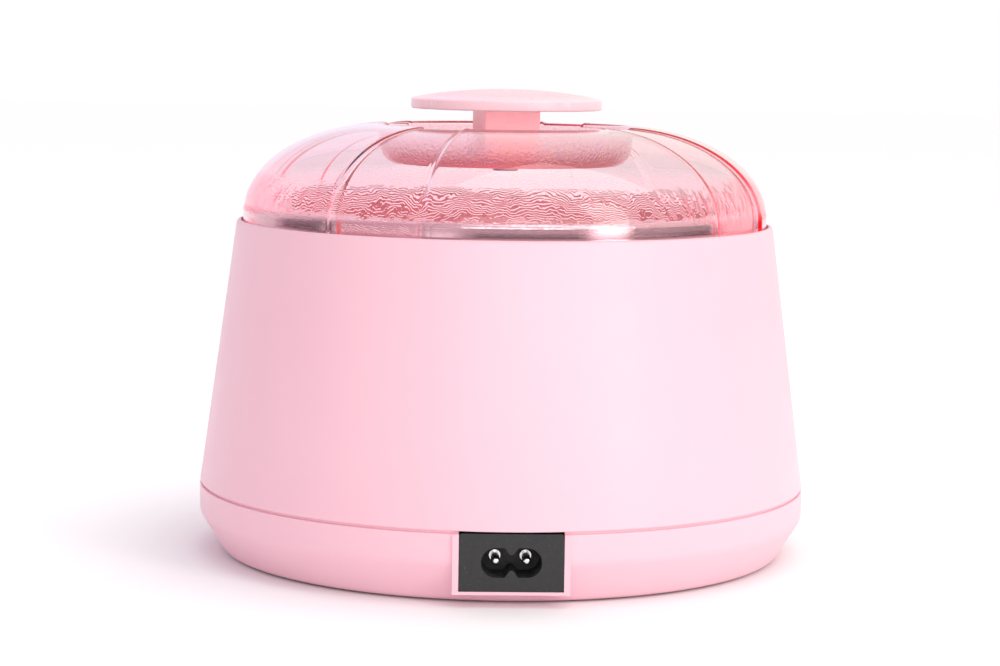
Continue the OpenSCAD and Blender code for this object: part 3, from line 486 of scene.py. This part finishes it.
def revolve(name, section_at, angles, closed, body, nodes, paints, paint_of=None, marks=None):
    """A piece turned about the upright axis. section_at(angle) gives the half section in mm there.
    A closed section is a ring; an open one starts and ends on the axis.
    paint_of(row) picks the material of a row of faces. marks holds a function of (row, angle,
    radius, height) for each value that the material reads at a point."""
    columns = [section_at(a) for a in angles]
    rows = len(columns[0])
    coords = []
    for a, column in zip(angles, columns):
        c, s = math.cos(math.radians(a)), math.sin(math.radians(a))
        coords.extend((r * c * MM, r * s * MM, z * MM) for r, z in column)
    faces = []
    stripes = []
    count = len(angles)
    for i in range(count):
        j = (i + 1) % count
        for k in range(rows if closed else rows - 1):
            n = (k + 1) % rows
            faces.append((i * rows + k, j * rows + k, j * rows + n, i * rows + n))
            stripes.append(k)
    data = bpy.data.meshes.new(name)
    data.from_pydata(coords, [], faces)
    for paint in paints:
        data.materials.append(paint)
    if paint_of is not None:
        data.polygons.foreach_set("material_index", [paint_of(k) for k in stripes])
    for mark, value_of in (marks or {}).items():
        data.attributes.new(mark, "FLOAT", "POINT").data.foreach_set("value", [
            value_of(k, a, *column[k]) for a, column in zip(angles, columns) for k in range(rows)
        ])
    piece = bpy.data.objects.new(name, data)
    scene.collection.objects.link(piece)
    if not closed:
        weld(data)
    data.shade_smooth()
    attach(piece, body)
    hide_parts(*nodes)


# ---- Lid ----

# Angles in degrees and sizes in mm. The narrow panels lie a step in from the wide petals.
PETALS = 4
PANEL_ANGLE = 21
PANEL_FIRST = -120
CREASE = 2.4
LIP_OUT = 0.9
LIP_WIDTH = 0.5
LIP_RISE = 0.1
LID_LOW = 98.92
BAND_TOP = 104.7
BAND_ROWS = (101.0, 103.0)
FOOT_R = 79.6
FOOT_STEP = 1.6
FOOT_INNER_R = 78.2
FOOT_INNER_STEP = 1.4
DOME = (36.0, 103.0)
DOME_WIDTH = 43.45
DOME_STEP = 1.45
DOME_RISE = 27.0
RISE_STEP = 0.4
DOME_ROWS = 56
CREST = 40.35
INNER_CREST = 40.2
CRATER_FLOOR = 120.0
FLOOR_ROWS = (26, 16, 8, 2.3)
OUTER_RIM = (37.9, 1.6)
OUTER_CORNER = (36.2, 4.5)
INNER_RIM = (38.9, 0.6)
INNER_CORNER = (37.4, 5.5)
CORNER_ROWS = 9
LID_WALL = 1.8
THIN_WALL = 1.0


def panel_turn(angle):
    """Degrees from the middle of the nearest narrow panel."""
    return abs((angle - PANEL_FIRST + 180 / PETALS) % (360 / PETALS) - 180 / PETALS)


def panel_share(angle):
    """0 on a wide petal, 1 on a narrow panel, with a steep step between them."""
    t = fade(PANEL_ANGLE / 2 - panel_turn(angle), -CREASE / 2, CREASE / 2)
    return t * t * t * (t * (6 * t - 15) + 10)


def lip(angle):
    """1 on the small rounded lip along a petal's edge, 0 away from it."""
    return math.exp(-(((panel_turn(angle) - PANEL_ANGLE / 2 - LIP_OUT) / LIP_WIDTH) ** 2))


def sunken_middle(crest, rise, rim, corner, floor_z):
    """From the crest over a rounded rim, down round a corner and in along the floor to the screw's
    hole. rim and corner are (distance from the axis, radius of the rounding)."""
    points = [(*crest, 0), (rim[0], crest[1] + rise, rim[1]), (corner[0], floor_z, corner[1])]
    points += [(r, floor_z, 0) for r in FLOOR_ROWS]
    return fillet(points, CORNER_ROWS)[1:]


def lid_outer(angle):
    """Half section of the outer side: foot, band, dome, crest, wall and floor of the sunken middle."""
    share, edge = panel_share(angle), lip(angle)
    foot = FOOT_R - FOOT_STEP * share + LIP_RISE * edge
    width = DOME_WIDTH - DOME_STEP * share + LIP_RISE * edge
    rise = DOME_RISE - RISE_STEP * share + LIP_RISE * edge
    start = math.degrees(math.asin((BAND_TOP + 0.5 - DOME[1]) / rise))
    end = math.degrees(math.acos((CREST - DOME[0]) / width))
    band = [(foot - 0.25, LID_LOW), (foot, LID_LOW + 0.3)]
    band += [(foot, z) for z in (*BAND_ROWS, BAND_TOP - 0.25)]
    dome = arc(DOME, width, rise, start, end, DOME_ROWS)
    return band + dome + sunken_middle(dome[-1], 0.03, OUTER_RIM, OUTER_CORNER, CRATER_FLOOR)


def lid_inner(angle):
    """Half section of the inner side: a thin wall in from the dome, a thicker one under the floor."""
    share = panel_share(angle)
    foot_r = FOOT_INNER_R - FOOT_INNER_STEP * share
    width, rise = foot_r - DOME[0], DOME_RISE - RISE_STEP * share - THIN_WALL
    start = math.degrees(math.asin(1.5 / rise))
    end = math.degrees(math.acos((INNER_CREST - DOME[0]) / width))
    foot = [(foot_r, z) for z in (LID_LOW + 0.3, *BAND_ROWS)]
    dome = arc(DOME, width, rise, start, end, DOME_ROWS)
    under = CRATER_FLOOR - LID_WALL
    return foot + dome + sunken_middle(dome[-1], 0.05, INNER_RIM, INNER_CORNER, under)


def lid_section(angle):
    return lid_outer(angle) + lid_inner(angle)[::-1]


def lid_angles():
    """Closely spaced where the section steps from petal to panel, wider between."""
    marks = {round(a, 4) for a in np.arange(0, 360, 0.75)}
    for i in range(PETALS):
        for side in (-1, 1):
            middle = PANEL_FIRST + 360 / PETALS * i + side * PANEL_ANGLE / 2
            marks |= {round((middle + d) % 360, 4) for d in np.arange(-1.8, 1.81, 0.06)}
    return sorted(marks)


outer_rows = len(lid_outer(0))


def lid_figure(row, angle, r, z):
    """Strength of the wavy figure, on the lid's inner side in a belt at its foot."""
    if row < outer_rows:
        return 0.0
    return fade(z, 115.2, 111.6) * max(fade(z, 103.6, 105.0), panel_share(angle))


def lid_grain(row, angle, r, z):
    """Strength of the coarse grain, on the underside of the sunken middle and its corner."""
    if row < outer_rows or r > 38.6:
        return 0.0
    return fade(z, 125.0, 123.0)


revolve(
    "lid_shell", lid_section, lid_angles(), True, "lid", ["lid", "lid_well"],
    [materials["clear_plastic"]], marks={"figure": lid_figure, "grain": lid_grain},
)


# ---- Knob ----

# The disc's notches are placed in degrees. Its underside is at KNOB_Z.
KNOB_R = 29.0
KNOB_Z = 134.8
KNOB_EDGE = 3.1
KNOB_CROWN = 2.9
KNOB_RINGS = 12
NOTCH_FIRST = -146
NOTCH_R = 5.0
NOTCH_DEPTH = 0.6
STEM_SIDE = 17.4
STEM_TURN = 11
STEM_CORNER = 1.0


def knob_edge(angle):
    """Radius of the disc's edge, which four shallow notches cut into."""
    turn = math.radians((angle - NOTCH_FIRST + 45) % 90 - 45)
    centre = KNOB_R + NOTCH_R - NOTCH_DEPTH
    across = centre * math.sin(turn)
    if abs(across) >= NOTCH_R:
        return KNOB_R
    return min(KNOB_R, centre * math.cos(turn) - math.sqrt(NOTCH_R ** 2 - across ** 2))


def knob_section(angle):
    """Half section of the disc: flat underside, upright edge and crowned top."""
    edge = knob_edge(angle)
    edge_top = KNOB_Z + KNOB_EDGE
    under = [(0, KNOB_Z, 0), (12, KNOB_Z, 0), (edge - 3, KNOB_Z, 0)]
    rim = [(edge, KNOB_Z, 0.5), (edge, edge_top, 0.7)]
    crown = [
        (edge * i / KNOB_RINGS, edge_top + KNOB_CROWN * (1 - (i / KNOB_RINGS) ** 2) ** 0.9, 0)
        for i in range(KNOB_RINGS - 1, -1, -1)
    ]
    return fillet(under + rim + crown, 6)


revolve(
    "knob_disc", knob_section, np.arange(0, 360, 1.5), False, "lid", ["lid_knob"],
    [lid_knob_plastic_painted_glow],
)


def rounded_square(half, radius, steps):
    """Outline points of a square with rounded corners, turned as the stem is."""
    points = []
    for corner in range(4):
        for k in range(steps + 1):
            angle = math.radians(90 * corner + 90 * k / steps)
            middle = math.radians(90 * corner + 45)
            reach = (half - radius) * math.sqrt(2)
            points.append(Vector((
                reach * math.cos(middle) + radius * math.cos(angle),
                reach * math.sin(middle) + radius * math.sin(angle),
            )))
    turn = Matrix.Rotation(math.radians(STEM_TURN), 2)
    return [turn @ point for point in points]


def add_stem():
    """The square stem: straight, with a small fillet where it meets the disc and the sunken middle."""
    levels = [(CRATER_FLOOR, 0.5), (CRATER_FLOOR + 0.2, 0.15), (CRATER_FLOOR + 0.6, 0.0)]
    levels += [(CRATER_FLOOR + 5.0, 0.0)]
    levels += [(KNOB_Z - 0.7, 0.0), (KNOB_Z - 0.2, 0.2), (KNOB_Z + 0.1, 0.7)]
    coords, faces = [], []
    for z, flare in levels:
        outline = rounded_square(STEM_SIDE / 2 + flare, STEM_CORNER, 6)
        coords += [(p.x * MM, p.y * MM, z * MM) for p in outline]
    count = len(coords) // len(levels)
    for i in range(len(levels) - 1):
        for k in range(count):
            n = (k + 1) % count
            faces.append((i * count + k, i * count + n, (i + 1) * count + n, (i + 1) * count + k))
    faces.append(list(range(count))[::-1])
    faces.append([(len(levels) - 1) * count + k for k in range(count)])
    data = bpy.data.meshes.new("knob_stem")
    data.from_pydata(coords, [], faces)
    data.materials.append(lid_knob_plastic_painted_glow)
    data.shade_smooth()
    stem = bpy.data.objects.new("knob_stem", data)
    scene.collection.objects.link(stem)
    sharp = stem.modifiers.new("soft_edges", "WEIGHTED_NORMAL")
    sharp.keep_sharp = False
    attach(stem, "lid")


add_stem()


# ---- Pot ----

POT_R = 71.2
POT_LOW = 44.5
POT_WALL = 1.5
SHOULDER_Z = 99
RIM_TOP = 104.7
RIM_UNDER = 103.2
RIM_R = 76.4
RIM_LOW = 98.7


def pot_r(z):
    """Outer radius of the bowl, which narrows a little towards its floor."""
    return POT_R - 0.07 * (SHOULDER_Z - z)


# The bowl's outer side, the rim that turns out and down, and the bowl's inner side.
POT_SECTION = fillet([
    (0, POT_LOW, 0), (pot_r(POT_LOW), POT_LOW, 9), (POT_R, SHOULDER_Z, 2),
    (POT_R, RIM_UNDER, 0.8), (RIM_R - POT_WALL, RIM_UNDER, 0.8), (RIM_R - POT_WALL, RIM_LOW, 0.4),
    (RIM_R, RIM_LOW, 0.5), (RIM_R, RIM_TOP, 1.2), (POT_R - POT_WALL, RIM_TOP, 1.2),
    (POT_R - POT_WALL, SHOULDER_Z, 2), (pot_r(POT_LOW) - POT_WALL, POT_LOW + POT_WALL, 7.5),
    (0, POT_LOW + POT_WALL, 0),
], 8)
inner_side = len(POT_SECTION) // 2
coat_from = next(
    i for i, (r, _) in enumerate(POT_SECTION) if i > inner_side and r < POT_R - POT_WALL + 0.5
)
revolve(
    "pot_bowl", lambda angle: POT_SECTION, np.arange(0, 360, 1.0), False, "pot",
    ["wax_pot"], [materials["pot_aluminium"], coating], lambda k: 1 if k >= coat_from else 0,
)


# Light crosses the lid's faces many times before it comes out again.
BOUNCES = 64
scene.cycles.max_bounces = BOUNCES
scene.cycles.glossy_bounces = BOUNCES
scene.cycles.transmission_bounces = BOUNCES
